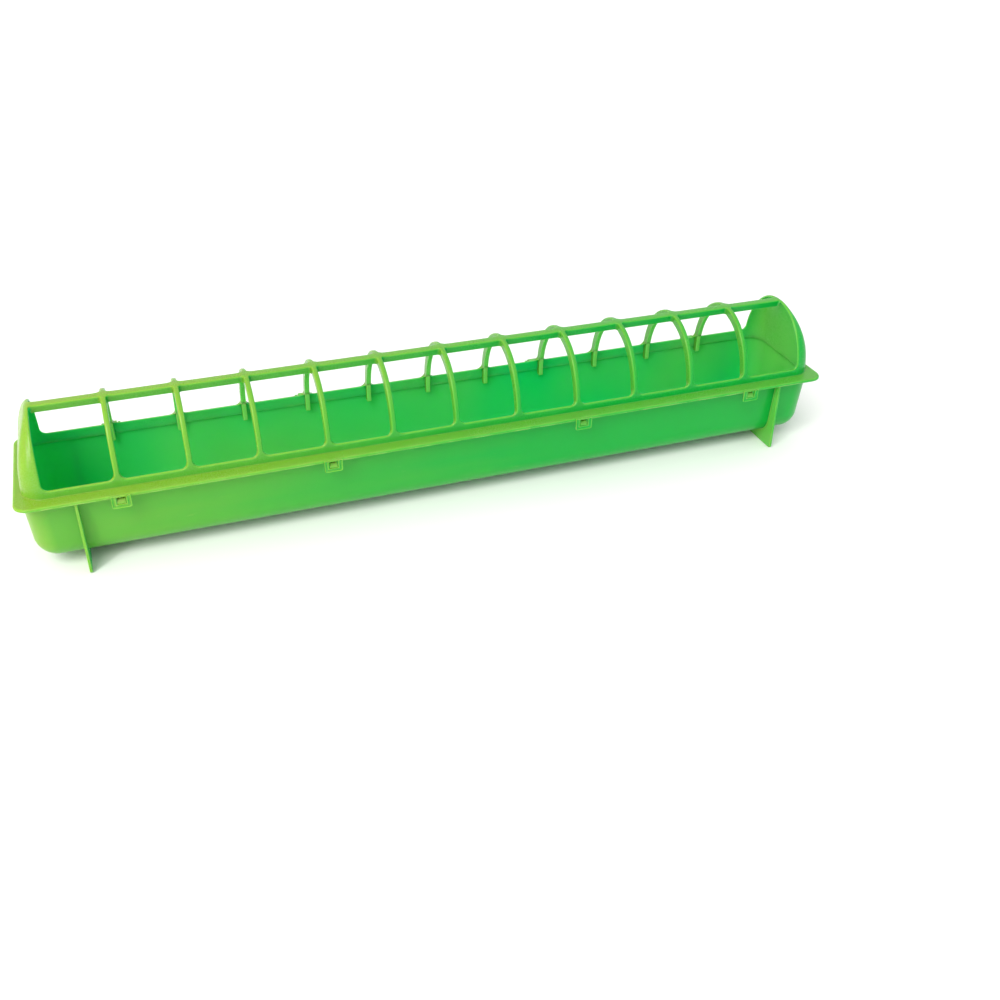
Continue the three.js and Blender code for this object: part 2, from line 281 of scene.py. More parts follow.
RAIL_FOOT = climb_to_height(RAIL_FOOT_ROUND)
BAY_FOOT = climb_to_height(RAIL_TOP)
BAY_HEAD = climb_to_height(ARCH_HEIGHT * math.sqrt(1 - (RIDGE_HALF / ARCH_WIDTH) ** 2))


def nearest_band(u):
    """Distance along the cover to the nearest rib or end wall."""
    lines = np.array(HALF_RIBS + [END_SEAM])
    return np.abs(np.asarray(u)[..., None] - lines).min(-1)


def outer_depth(u, s):
    """How far the outer face dips: ribs are crowned, and the ridge bar is lower than the bands."""
    away = nearest_band(u)
    lowered = RIDGE_DROP * smooth(RIB_HALF, BAND_FLARE, away) * smooth(BAY_HEAD - 7 * MM, BAY_HEAD, s)
    on_rib = smooth(BAY_FOOT, BAY_FOOT + 10 * MM, s) * smooth(BAY_HEAD, BAY_HEAD - 10 * MM, s)
    crown = RIB_CROWN * np.clip(away / RIB_HALF, 0, 1) ** 2 * on_rib
    return lowered + crown


def inner_depth(u, s):
    """The moulding's thickness: a thin wall at the rail and the ends, deep at ribs and ridge."""
    swell_start = BAY_FOOT - 1 * MM
    deep = smooth(swell_start, swell_start + RIB_SWELL, s)
    full = RIB_DEPTH + (RIDGE_DEPTH - RIB_DEPTH) * smooth(BAY_HEAD - 9 * MM, BAY_HEAD, s)
    on_ridge = smooth(BAY_HEAD - 3 * MM, BAY_HEAD, s)
    inland = 1 - smooth(0, 12 * MM, u - BAY_END + (16 - 15 * on_ridge) * MM)
    return COVER_WALL + (full - WALL) * deep * inland


def bay_outlines(left, right, frame_left, frame_right):
    """A feeding bay's outline, the outline of the moulding around it, and the way out of the bay."""
    bay, around, outward = [], [], []

    def corner(heart, radius, start, edge_from, edge_corner, edge_to):
        for step in range(CORNER_STEPS + 1):
            turn = start + step / CORNER_STEPS * math.pi / 2
            way = np.array([math.cos(turn), math.sin(turn)])
            share = 2 * step / CORNER_STEPS
            near, far = (edge_from, edge_corner) if share <= 1 else (edge_corner, edge_to)
            part = share if share <= 1 else share - 1
            bay.append(np.array(heart) + radius * way)
            around.append(np.array(near) * (1 - part) + np.array(far) * part)
            outward.append(way)

    def side(start, end, edge_start, edge_end, way, steps):
        for step in range(1, steps):
            share = step / steps
            bay.append(np.array(start) + (np.array(end) - start) * share)
            around.append(np.array(edge_start) + (np.array(edge_end) - edge_start) * share)
            outward.append(np.array(way, float))

    foot, head = BAY_FOOT_ROUND, BAY_HEAD_ROUND
    low, high = BAY_FOOT, BAY_HEAD
    side((left + foot, low), (right - foot, low), (left + foot, RAIL_FOOT), (right - foot, RAIL_FOOT),
         (0, -1), LEVEL_STEPS)
    corner((right - foot, low + foot), foot, -math.pi / 2,
           (right - foot, RAIL_FOOT), (frame_right, RAIL_FOOT), (frame_right, low + foot))
    side((right, low + foot), (right, high - head), (frame_right, low + foot), (frame_right, high - head),
         (1, 0), SIDE_STEPS)
    corner((right - head, high - head), head, 0,
           (frame_right, high - head), (frame_right, CREST), (right - head, CREST))
    side((right - head, high), (left + head, high), (right - head, CREST), (left + head, CREST),
         (0, 1), LEVEL_STEPS)
    corner((left + head, high - head), head, math.pi / 2,
           (left + head, CREST), (frame_left, CREST), (frame_left, high - head))
    side((left, high - head), (left, low + foot), (frame_left, high - head), (frame_left, low + foot),
         (-1, 0), SIDE_STEPS)
    corner((left + foot, low + foot), foot, math.pi,
           (frame_left, low + foot), (frame_left, RAIL_FOOT), (left + foot, RAIL_FOOT))
    return np.array(bay), np.array(around), np.array(outward)


def bay_rows(bay, around, outward):
    """Rings of points from the outer face, over the bay's rounded edge, to the inner face."""
    rows = []

    def ring(place, depth):
        rows.append(on_cover(place[:, 0], place[:, 1], depth))

    brink = bay + outward * EDGE_ROUND
    for share in (1, 0.75, 0.5, 0.25):
        place = brink + (around - brink) * share
        ring(place, outer_depth(place[:, 0], place[:, 1]))
    top = outer_depth(brink[:, 0], brink[:, 1])
    for step in range(ROUND_STEPS + 1):
        turn = step / ROUND_STEPS * math.pi / 2
        ring(bay + outward * EDGE_ROUND * (1 - math.sin(turn)), top + EDGE_ROUND * (1 - math.cos(turn)))
    bottom = np.maximum(inner_depth(bay[:, 0], bay[:, 1]), top + EDGE_ROUND + INNER_ROUND)
    for share in (1 / 3, 2 / 3):
        wall_top, wall_bottom = top + EDGE_ROUND, bottom - INNER_ROUND
        ring(bay, wall_top + (wall_bottom - wall_top) * share)
    for step in range(ROUND_STEPS + 1):
        turn = step / ROUND_STEPS * math.pi / 2
        ring(bay + outward * INNER_ROUND * (1 - math.cos(turn)), bottom - INNER_ROUND * (1 - math.sin(turn)))
    inner_brink = bay + outward * INNER_ROUND
    for share in (0.5, 1):
        place = inner_brink + (around - inner_brink) * share
        ring(place, inner_depth(place[:, 0], place[:, 1]))
    return rows


def rim_profile(inner, inside, edge):
    """The section of the rim at one place: foot of the rail, flat rim, lip and inner skirt."""
    reach = np.linalg.norm(edge - inner[:2])
    way = (edge - inner[:2]) / reach
    section = []

    def add(distance, z):
        section.append((inner[0] + way[0] * distance, inner[1] + way[1] * distance, z))

    def rounded(distance, z, radius, start, end, steps=4):
        for step in range(steps + 1):
            turn = math.radians(start + (end - start) * step / steps)
            add(distance + radius * math.cos(turn), z + radius * math.sin(turn))

    foot = RAIL_FOOT_ROUND
    for step in range(ROUND_STEPS + 1):
        turn = step / ROUND_STEPS * math.pi / 2
        add(foot * (1 - math.cos(turn)), inner[2] * (1 - math.sin(turn)))
    add(foot + (reach - foot) * 0.4, -RIM_FALL / 2)
    add(reach - RIM_EDGE_ROUND - 1 * MM, -RIM_FALL)
    rounded(reach - RIM_EDGE_ROUND, -RIM_FALL - RIM_EDGE_ROUND, RIM_EDGE_ROUND, 90, 0)
    rounded(reach - LIP_ROUND, LIP_BOTTOM + LIP_ROUND, LIP_ROUND, 0, -90, 3)
    rounded(reach - LIP + LIP_ROUND, LIP_BOTTOM + LIP_ROUND, LIP_ROUND, -90, -180, 3)
    add(reach - LIP, -RIM_SHEET - 0.3 * MM)
    add(reach - LIP - 0.3 * MM, -RIM_SHEET)
    add(1 * MM, -RIM_SHEET)
    add(0, -RIM_SHEET - 0.5 * MM)
    add(0, SKIRT_BOTTOM + LIP_ROUND)
    for share in (0.2, 0.8):
        section.append((*(inner[:2] * (1 - share) + inside[:2] * share), SKIRT_BOTTOM))
    section.append((inside[0], inside[1], SKIRT_BOTTOM + LIP_ROUND))
    section.append((inside[0], inside[1], 0))
    section.append(tuple(inside))
    return section


def rim_edge_from(inner, x_start):
    """The rim's outline beside each place of the cover's foot, from the straight side to the end."""
    straight = RIM_LENGTH - RIM_CORNER - x_start
    bend = RIM_CORNER * math.pi / 2
    across = (RIM_WIDTH - RIM_CORNER) - (ARCH_WIDTH - END_ROUND_FOOT)
    steps = np.concatenate([[0], np.cumsum(np.linalg.norm(np.diff(inner[:, :2], axis=0), axis=1))])
    end_of_bend = int(np.argmin(np.abs(inner[:, 1] + ARCH_WIDTH - END_ROUND_FOOT)))
    travel = steps / steps[end_of_bend] * (straight + bend + across)
    edge = []
    for place, gone in zip(inner, travel):
        if gone <= straight:
            edge.append((x_start + gone, -RIM_WIDTH))
        elif gone <= straight + bend:
            turn = (gone - straight) / RIM_CORNER
            edge.append((RIM_LENGTH - RIM_CORNER + RIM_CORNER * math.sin(turn),
                         -RIM_WIDTH + RIM_CORNER - RIM_CORNER * math.cos(turn)))
        else:
            edge.append((RIM_LENGTH, min(place[1], -RIM_WIDTH + RIM_CORNER + gone - straight - bend)))
    return np.array(edge)


def end_rows(climbs, depth_at, wall_depth):
    """The domed end, one row for each height: round the corner, then across to its middle."""
    corner_share = np.linspace(0, 1, 29)
    wall_share = np.linspace(1, 0, 13)[1:]
    middle = np.array([0.0, RAIL_FOOT_ROUND])
    rows = []
    for s in climbs:
        u = END_SEAM + (end_of_corner(s) - END_SEAM) * corner_share
        depth = depth_at(u, s)
        deeper = depth[-1] - wall_depth if wall_depth else 0  # the outer face stays flat
        brink = on_cover(u[-1:], s, 0.0)[0]
        flat = []
        for share in wall_share:
            y, z = middle + (brink[1:] - middle) * share
            x = end_wall_x(z) + (brink[0] - end_wall_x(brink[2])) * share**2
            slope = 2 * END_LEAN * z / ARCH_HEIGHT**2
            sunk = wall_depth + deeper * share**8
            out = np.array([1, 0, slope]) / math.hypot(1, slope)
            flat.append(np.array([x, y, z]) - sunk * out)
        rows.append(np.vstack([on_cover(u, s, depth), flat]))
    return rows


def grille_cover():
    """A quarter of the cover, from the middle rib to the end, then its mirror images."""
    skin = Skin()
    outer, inner = [], []
    for line, ahead in zip(HALF_RIBS, HALF_RIBS[1:] + [END_SEAM]):
        right = BAY_END if ahead == END_SEAM else ahead - RIB_HALF
        bay, around, outward = bay_outlines(line + RIB_HALF, right, line, ahead)
        rows = bay_rows(bay, around, outward)
        skin.sheet(rows, loop=True)
        at_foot = np.abs(around[:, 1] - RAIL_FOOT) < SAME_PLACE
        order = np.argsort(around[at_foot, 0])[:-1]
        outer.append(rows[0][at_foot][order])
        inner.append(rows[-1][at_foot][order])
    # the last bay's surroundings end at the seam, and the end takes over its points there
    climbs = np.sort(around[np.abs(around[:, 0] - END_SEAM) < SAME_PLACE, 1])
    for side, depth_at, wall_depth in ((outer, outer_depth, 0), (inner, inner_depth, COVER_WALL)):
        rows = end_rows(climbs, depth_at, wall_depth)
        skin.sheet(rows)
        side.append(rows[0])
    start = sum(len(places) for places in outer[:-1])
    outer, inner = np.vstack(outer), np.vstack(inner)
    edge = np.column_stack([outer[:, 0], np.full(len(outer), -RIM_WIDTH)])
    edge[start:] = rim_edge_from(outer[start:], outer[start, 0])
    skin.sheet([rim_profile(*places) for places in zip(outer, inner, edge)])
    for line in HALF_RIBS:
        plate(skin, tongue_outline(), line, 2 * RIB_HALF - TONGUE_SLACK, 1.1 * MM)
    skin.mirrored((1, 0))
    return skin.build("grille_cover")


# ---- small moulded pieces ----
def arc(heart, radius, start, end, steps=12):
    """Points on an arc, in degrees, in the plane of the outline."""
    turns = np.radians(np.linspace(start, end, steps + 1))
    return [(heart[0] + radius * math.cos(t), heart[1] + radius * math.sin(t)) for t in turns]


def rounded_box(low, high, radii, steps=5):
    """A rectangle with rounded corners: lower left, lower right, upper right, upper left."""
    hearts = [(low[0] + radii[0], low[1] + radii[0]), (high[0] - radii[1], low[1] + radii[1]),
              (high[0] - radii[2], high[1] - radii[2]), (low[0] + radii[3], high[1] - radii[3])]
    outline = []
    for number, (heart, radius) in enumerate(zip(hearts, radii)):
        outline += arc(heart, radius, 180 + 90 * number, 270 + 90 * number, steps)
    return outline


def drawn_in(outline, distance):
    """The outline moved inwards by a distance, whichever way round it runs."""
    points = np.array(outline)
    before, after = points - np.roll(points, 1, 0), np.roll(points, -1, 0) - points
    area = (points[:, 0] * np.roll(points[:, 1], -1) - np.roll(points[:, 0], -1) * points[:, 1]).sum()

    def inward(step):
        step = step / np.maximum(np.linalg.norm(step, axis=1, keepdims=True), 1e-9)
        return np.column_stack([-step[:, 1], step[:, 0]]) * np.sign(area)

    way = inward(before) + inward(after)
    way /= np.maximum((way**2).sum(1, keepdims=True) / 2, 0.35)
    return points + way * distance


def plate(skin, outline, middle, thickness, edge, border=0, sunk=0):
    """A flat piece with rounded edges, drawn in the yz plane around x = middle. With a border,
    its faces are sunk inside that border, as a moulded web is."""
    def ring(inset, height):
        points = drawn_in(outline, inset)
        return np.column_stack([np.full(len(points), middle + height), points])

    half = thickness / 2
    rings = []
    for step in range(4):
        turn = step / 3 * math.pi / 2
        rings.append((edge * (1 - math.sin(turn)), half - edge * (1 - math.cos(turn))))
    if border:
        shoulder = 0.3 * sunk
        rings = [(border + sunk, half - sunk), (border, half - shoulder),
                 (border - shoulder, half)] + rings
    rings += [(inset, -height) for inset, height in reversed(rings)]
    rows = [ring(inset, height) for inset, height in rings]
    skin.cap(rows[0])
    skin.sheet(rows, loop=True)
    skin.cap(rows[-1])


def tongue_outline():
    """The end of a rib: it carries on down inside the rail, clear of the trough's wall."""
    inner = -ARCH_WIDTH + RIB_DEPTH
    outer = -ARCH_WIDTH + WALL - 0.3 * MM
    low, blend = TONGUE_BOTTOM, 2.4 * MM
    crown = RAIL_TOP + TONGUE_CLIMB
    lean = 1.0 * MM
    return [(inner - 1.6 * MM, crown), (outer + 2.6 * MM, RAIL_TOP + 2.5 * MM),
            (outer + 0.6 * MM, RAIL_TOP - 1 * MM), (outer, 0),
            *arc((outer + blend, low + blend), blend, 180, 270, 5),
            *arc((inner - blend, low + blend), blend, 270, 360, 5),
            (inner, 0), (inner + 0.2 * MM, RAIL_TOP), (inner + lean, crown)]


# ---- trough ----
def plan_ring(half_length, half_width, corner, z):
    """A horizontal cut through the trough: a rectangle with rounded corners."""
    radius = max(min(corner, half_width * 0.98), 0)
    straight, flat = half_length - radius, half_width - radius
    ring = []
    for number, (sx, sy) in enumerate([(1, 1), (-1, 1), (-1, -1), (1, -1)]):
        for step in range(CORNER_STEPS + 1):
            turn = (number + step / CORNER_STEPS) * math.pi / 2
            ring.append((sx * straight + radius * math.cos(turn), sy * flat + radius * math.sin(turn), z))
        along_x = number % 2 == 0
        steps = LENGTH_STEPS if along_x else BREADTH_STEPS
        for step in range(1, steps):
            share = 1 - 2 * step / steps
            ring.append((sx * straight * share, sy * half_width, z) if along_x
                        else (sx * half_length, sy * flat * share, z))
    return ring


def trough_cut(inset, z, height=None):
    """A ring round the trough's wall as it is at z, where it has drawn in since the top. A height
    puts that ring at another level."""
    share = (TROUGH_TOP - z) / (-TROUGH_ROUND - TROUGH_BOTTOM)
    width = ARCH_WIDTH + PLAY + WALL - TROUGH_DRAFT * share - inset
    length = END_WALL_X + PLAY + WALL - TROUGH_END_DRAFT * share - inset
    return plan_ring(length, width, max(TROUGH_CORNER - inset, 2 * MM), z if height is None else height)


def trough_face(depth, top):
    """Rings from the top of the wall down its face and in to the middle of the bottom."""
    knee = TROUGH_BOTTOM + TROUGH_ROUND
    radius = TROUGH_ROUND - depth
    rings = [trough_cut(depth, top + (knee - top) * share) for share in np.linspace(0, 1, 12)[:-1]]
    for step in range(15):
        turn = step / 14 * math.pi / 2
        rings.append(trough_cut(depth + radius * (1 - math.cos(turn)), knee, knee - radius * math.sin(turn)))
    flat = trough_cut(0, knee)[0][0] - depth - radius
    width = np.abs(np.array(rings[-1])[:, 1]).max()
    for share in (0.66, 0.33, 0.0):
        rings.append(plan_ring(flat - width * (1 - share), width * share, 0.1 * MM, knee - radius))
    return rings


def trough_moulding():
    """Wall, bottom and flange, with rounded edges all round: rings from the middle of the inner
    bottom, over the flange, to the middle of the underside."""
    skin = Skin()
    mouth, edge, under, root = TROUGH_MOUTH_ROUND, FLANGE_EDGE_ROUND, FLANGE_UNDER_ROUND, FLANGE_ROOT_ROUND
    rings = trough_face(WALL, TROUGH_TOP - mouth)[::-1]
    for step in range(1, ROUND_STEPS + 1):
        turn = step / ROUND_STEPS * math.pi / 2
        rings.append(trough_cut(WALL - mouth * (1 - math.cos(turn)), TROUGH_TOP,
                                TROUGH_TOP - mouth * (1 - math.sin(turn))))
    flange_bottom = TROUGH_TOP - FLANGE_SHEET
    for step in range(ROUND_STEPS + 1):
        turn = step / ROUND_STEPS * math.pi / 2
        inset = edge * (1 - math.sin(turn))
        rings.append(plan_ring(FLANGE_LENGTH - inset, FLANGE_WIDTH - inset, FLANGE_CORNER - inset,
                               TROUGH_TOP - edge * (1 - math.cos(turn))))
    for step in range(4):
        turn = step / 3 * math.pi / 2
        inset = under * (1 - math.cos(turn))
        rings.append(plan_ring(FLANGE_LENGTH - inset, FLANGE_WIDTH - inset, FLANGE_CORNER - inset,
                               flange_bottom + under * (1 - math.sin(turn))))
    for step in range(ROUND_STEPS + 1):
        turn = step / ROUND_STEPS * math.pi / 2
        rings.append(trough_cut(-root * (1 - math.sin(turn)), flange_bottom,
                                flange_bottom - root * (1 - math.cos(turn))))
    rings += trough_face(0, flange_bottom - root)[1:]
    skin.sheet(rings, loop=True)
    return skin.build("trough_moulding")


def foot_outline():
    """A cross plate: it stands on a straight edge and cradles the trough."""
    wall = ARCH_WIDTH + PLAY + WALL
    knee = TROUGH_BOTTOM + TROUGH_ROUND
    drawn = TROUGH_DRAFT * (TROUGH_TOP - knee) / (-TROUGH_ROUND - TROUGH_BOTTOM)
    radius = TROUGH_ROUND + PLAY
    heart = wall - drawn - TROUGH_ROUND
    half = [(wall + PLAY, FOOT_TOP), *arc((heart, knee), radius, 0, -90, 16)]
    cradle = half + [(-y, z) for y, z in reversed(half)]
    corner = FOOT_CORNER
    return cradle + [*arc((-FOOT_WIDTH + corner, FOOT_TOP - corner), corner, 90, 180, 4),
                     *arc((-FOOT_WIDTH + corner, FOOT_BOTTOM + corner), corner, 180, 270, 4),
                     *arc((FOOT_WIDTH - corner, FOOT_BOTTOM + corner), corner, 270, 360, 4),
                     *arc((FOOT_WIDTH - corner, FOOT_TOP - corner), corner, 0, 90, 4)]


def foot_plate(name, x):
    skin = Skin()
    plate(skin, foot_outline(), x, FOOT_THICKNESS, 0.5 * MM, border=FOOT_BORDER, sunk=FOOT_SUNK)
    return skin.build(name)


# ---- latches and hinges ----
def latch_tab(name, x):
    """A springy tab with a framed window that snaps over the trough's nose."""
    skin = Skin()
    hole = np.array(rounded_box((x - WINDOW_HALF, WINDOW_BOTTOM), (x + WINDOW_HALF, WINDOW_TOP),
                                [0.8 * MM] * 4))
    edge = np.array(rounded_box((x - TAB_HALF, TAB_BOTTOM), (x + TAB_HALF, TAB_TOP),
                                [2 * MM, 2 * MM, 0.8 * MM, 0.8 * MM]))
    front, back = TAB_OUTER, TAB_INNER
    # from the window (0) to the tab's edge (1) over the front, with a groove, then back behind
    section = [(0, front + 0.4 * MM), (0.05, front + 0.1 * MM), (0.1, front), (0.26, front),
               (0.31, front + 0.15 * MM), (0.36, front + 0.7 * MM), (0.45, front + 0.8 * MM),
               (0.72, front + 0.8 * MM), (0.8, front + 0.6 * MM), (0.85, front + 0.1 * MM),
               (0.92, front), (0.97, front + 0.15 * MM), (1, front + 0.5 * MM), (1, back - 0.5 * MM),
               (0.96, back - 0.1 * MM), (0.9, back), (0.06, back), (0, back - 0.4 * MM)]
    section.append(section[0])
    rows = []
    for share, y in section:
        place = hole + (edge - hole) * share
        rows.append(np.column_stack([place[:, 0], np.full(len(place), y), place[:, 1]]))
    skin.sheet(rows, loop=True)
    return skin.build(name)


def latch_nose(name, x):
    """A ramped catch under the trough's flange."""
    skin = Skin()
    tip, root, top, bottom = NOSE_TIP, NOSE_ROOT, NOSE_TOP, NOSE_BOTTOM
    blend = 0.6 * MM
    outline = [(root, top), (root, bottom), *arc((tip + blend, bottom + blend), blend, 270, 180, 4),
               (tip, bottom + 1.2 * MM), (tip + 0.4 * MM, bottom + 1.8 * MM),
               (tip + 3 * MM, top - 0.3 * MM), (tip + 3.6 * MM, top)]
    plate(skin, outline, x, 2 * NOSE_HALF, 0.5 * MM)
    return skin.build(name)


def hinge_bracket(name, x):
    """Two lugs on the trough's rear flange with a pin between them."""
    skin = Skin()
    heart = (HINGE_Y, HINGE_Z)
    high, low = HINGE_Z + 0.6 * MM, HINGE_Z - 2.4 * MM
    outline = [(BRACKET_ROOT, low), *arc(heart, LUG_RADIUS, -127, 168, 22), (BRACKET_ROOT, high)]
    for side in (-1, 1):
        plate(skin, outline, x + side * (BRACKET_HALF - LUG_WIDTH / 2), LUG_WIDTH, 0.5 * MM)
    plate(skin, arc(heart, PIN_RADIUS, 0, 345, 23), x, 2 * BRACKET_HALF - LUG_WIDTH, 0.2 * MM)
    return skin.build(name)


def hinge_hook(name, x):
    """A curled hook on the cover's rear lip, open below so that it clips over the pin."""
    skin = Skin()
    heart = (HINGE_Y, HINGE_Z)
    outline = [(HOOK_ROOT, HINGE_Z + 4.1 * MM), *arc(heart, HOOK_OUTER, 100, -122, 20),
               *arc(heart, (HOOK_INNER + HOOK_OUTER) / 2, -127, -133, 2),
               *arc(heart, HOOK_INNER, -128, 150, 24), (HOOK_ROOT, HINGE_Z + 1.7 * MM)]
    plate(skin, outline, x, 2 * HOOK_HALF, 0.45 * MM)
    return skin.build(name)


# ---- assembly ----
def put(piece, body, slot, *nodes):
    """Hangs a piece on its body, in place of the plain nodes that it shows in full."""
    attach(piece, body)
    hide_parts(*nodes)
    return piece


COVER_NODES = [name for name in frame["nodes"]
               if any(part in name for part in ("_rail", "_rim", "_end_wall", "ridge_bar", "_rib_"))]
cover_pieces = [put(grille_cover(), "cover_body", "cover_plastic", *COVER_NODES)]
trough_pieces = [put(trough_moulding(), "trough_body", "trough_plastic", "trough")]
foot_pieces = [put(foot_plate("foot_plate_left", -FOOT_X), "trough_body", "foot_plastic", "left_foot"),
               put(foot_plate("foot_plate_right", FOOT_X), "trough_body", "foot_plastic", "right_foot")]
for number in range(1, FASTENINGS + 1):
    tab_from, tab_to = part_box(f"latch_tab_{number}")
    x = (tab_from.x + tab_to.x) / 2
    cover_pieces.append(put(latch_tab(f"snap_tab_{number}", x), f"latch_body_{number}",
                            "cover_plastic", f"latch_tab_{number}"))
    cover_pieces.append(put(hinge_hook(f"clip_hook_{number}", x), "cover_body",
                            "cover_plastic", f"hinge_hook_{number}"))
    trough_pieces.append(put(latch_nose(f"snap_nose_{number}", x), "trough_body",
                             "trough_plastic", f"latch_nose_{number}"))
    trough_pieces.append(put(hinge_bracket(f"pin_bracket_{number}", x), "trough_body",
                             "trough_plastic", f"hinge_pin_{number}"))


# ---- plastic ----
class Nodes:
    """A short way to write a material's node tree."""

    def __init__(self, name):
        self.material = bpy.data.materials.new(name)
        self.material.use_nodes = True
        self.tree = self.material.node_tree
        self.shader = self.tree.nodes["Principled BSDF"]

    def plug(self, socket, value):
        if isinstance(value, bpy.types.NodeSocket):
            self.tree.links.new(value, socket)
        else:
            socket.default_value = value

    def add(self, kind, output=0, **inputs):
        node = self.tree.nodes.new(kind)
        for key, value in inputs.items():
            self.plug(node.inputs[key], value)
        return node.outputs[output]

    def parts(self, vector):
        """The x, y and z of a vector."""
        node = self.tree.nodes.new("ShaderNodeSeparateXYZ")
        self.plug(node.inputs[0], vector)
        return node.outputs

    def math(self, operation, first, second=0.0, third=0.0):
        node = self.tree.nodes.new("ShaderNodeMath")
        node.operation = operation
        for socket, value in zip(node.inputs, (first, second, third)):
            self.plug(socket, value)
        return node.outputs[0]

    def vector(self, operation, first, second=(0, 0, 0), output=0):
        node = self.tree.nodes.new("ShaderNodeVectorMath")
        node.operation = operation
        self.plug(node.inputs[0], first)
        self.plug(node.inputs[1], second)
        return node.outputs[output]

    def spread(self, value, low, high, to_low=0.0, to_high=1.0):
        node = self.tree.nodes.new("ShaderNodeMapRange")
        node.interpolation_type = "SMOOTHSTEP"
        for socket, item in zip(node.inputs, (value, low, high, to_low, to_high)):
            self.plug(socket, item)
        return node.outputs[0]

    def mix(self, share, first, second):
        node = self.tree.nodes.new("ShaderNodeMix")
        node.data_type = "RGBA"
        # its sockets for colours: A, B and the result
        self.plug(node.inputs["Factor"], share)
        self.plug(node.inputs[6], first)
        self.plug(node.inputs[7], second)
        return node.outputs[2]

    def noise(self, vector, scale, detail=2.0, roughness=0.5):
        return self.add("ShaderNodeTexNoise", Vector=vector, Scale=scale, Detail=detail, Roughness=roughness)

    def weigh(self, value, weight, total):
        """The total so far, with the value added to it by its weight."""
        return self.math("MULTIPLY_ADD", value, weight, total)

    def centred(self, value):
        return self.math("SUBTRACT", value, 0.5)

    def limit(self, value):
        return self.math("MINIMUM", self.math("MAXIMUM", value, 0.0), 1.0)


PAINTED_SHADE_GREEN = (0.002, 0.36, 0.040, 1)  # painted shade: the plastic's deep colour, for faces turned away from the light
PAINTED_LIT_GREEN = (0.225, 0.40, 0.030, 1)  # painted light: the yellower colour for edges and for faces that the light falls on
ENCLOSED = (0.01, 0.60, 0.17, 1)  # the inner faces, where light comes through the walls
INNER_LIME = (0.20, 0.54, 0.10, 1)  # painted light: the brighter stretches of the inner faces
RIB_GLOW = (0.26, 0.74, 0.17, 1)  # the inner faces of the ribs, which light reaches from both sides
HAZE = (0.36, 0.54, 0.14, 1)  # rubbed edges
CORE_END = 0.42  # the middle line of the feeder, which its inner faces look towards, ends here


def inward_share(nodes, place, normal):
    """1 on faces that look towards the middle line of the feeder, 0 on faces that look away."""
    core_x = nodes.math("MINIMUM", nodes.math("MAXIMUM", nodes.parts(place)[0], -CORE_END), CORE_END)
    core = nodes.add("ShaderNodeCombineXYZ", X=core_x, Y=MIDDLE_Y, Z=RIM_TOP)
    from_core = nodes.vector("NORMALIZE", nodes.vector("SUBTRACT", place, core))
    return nodes.spread(nodes.vector("DOT_PRODUCT", from_core, normal, output="Value"), 0.0, -0.4)


def wall_share(nodes, place):
    """On the cover: 1 on its walls, 0 on the inner side of its ribs and ridge."""
    arch = nodes.add("ShaderNodeMapping", Vector=place, Scale=(0, 1 / ARCH_WIDTH, 1 / ARCH_HEIGHT),
                     Location=(0, -MIDDLE_Y / ARCH_WIDTH, -RIM_TOP / ARCH_HEIGHT))
    near_outside = nodes.spread(nodes.vector("LENGTH", arch, output="Value"), 0.88, 0.93)
    at_end = nodes.spread(nodes.math("ABSOLUTE", nodes.parts(place)[0]), BAY_END - 2 * MM, BAY_END)
    return nodes.math("MAXIMUM", near_outside, at_end)


def outer_colour(nodes, place, lean, edge, cloud, painted_lit_bias):
    """Painted light and shade: yellower on edges, on upward faces and towards the left, as if lit from the
    upper left, with flow marks and clouds.
    """
    streak = nodes.add("ShaderNodeMapping", Vector=place, Scale=(3.0, 9.0, 22.0))
    flow = nodes.noise(streak, 1.0, 3.0, 0.55)
    along = nodes.spread(nodes.parts(place)[0], -0.5, 0.28)
    # painted light: upward faces, faces towards the left, the left end and edges (a painted highlight) lean
    # to the lit green, the rest to the shade green; flow marks and clouds add random tone
    tone = nodes.weigh(nodes.math("MAXIMUM", lean[2], 0.0), 0.42, painted_lit_bias)
    tone = nodes.weigh(lean[0], -0.42, tone)
    tone = nodes.weigh(along, -0.56, tone)
    tone = nodes.weigh(edge, 0.3, tone)
    tone = nodes.weigh(nodes.centred(flow), 0.28, tone)
    tone = nodes.weigh(nodes.centred(cloud), 0.25, tone)
    return nodes.mix(nodes.limit(tone), PAINTED_SHADE_GREEN, PAINTED_LIT_GREEN)


def inner_colour(nodes, place, lean):
    """Painted light on the inner faces: brightest a little left of the middle and on faces towards the left,
    in soft patches.
    """
    x = nodes.parts(place)[0]
    glow = nodes.weigh(lean[0], -0.55, 0.12)
    glow = nodes.weigh(nodes.centred(nodes.noise(place, 4.5)), 1.5, glow)
    glow = nodes.math("ADD", nodes.spread(x, -0.46, -0.3, -0.3, 0.3), glow)
    glow = nodes.math("ADD", nodes.spread(x, -0.1, 0.3, 0.0, -0.3), glow)
    return nodes.mix(nodes.limit(glow), ENCLOSED, INNER_LIME)


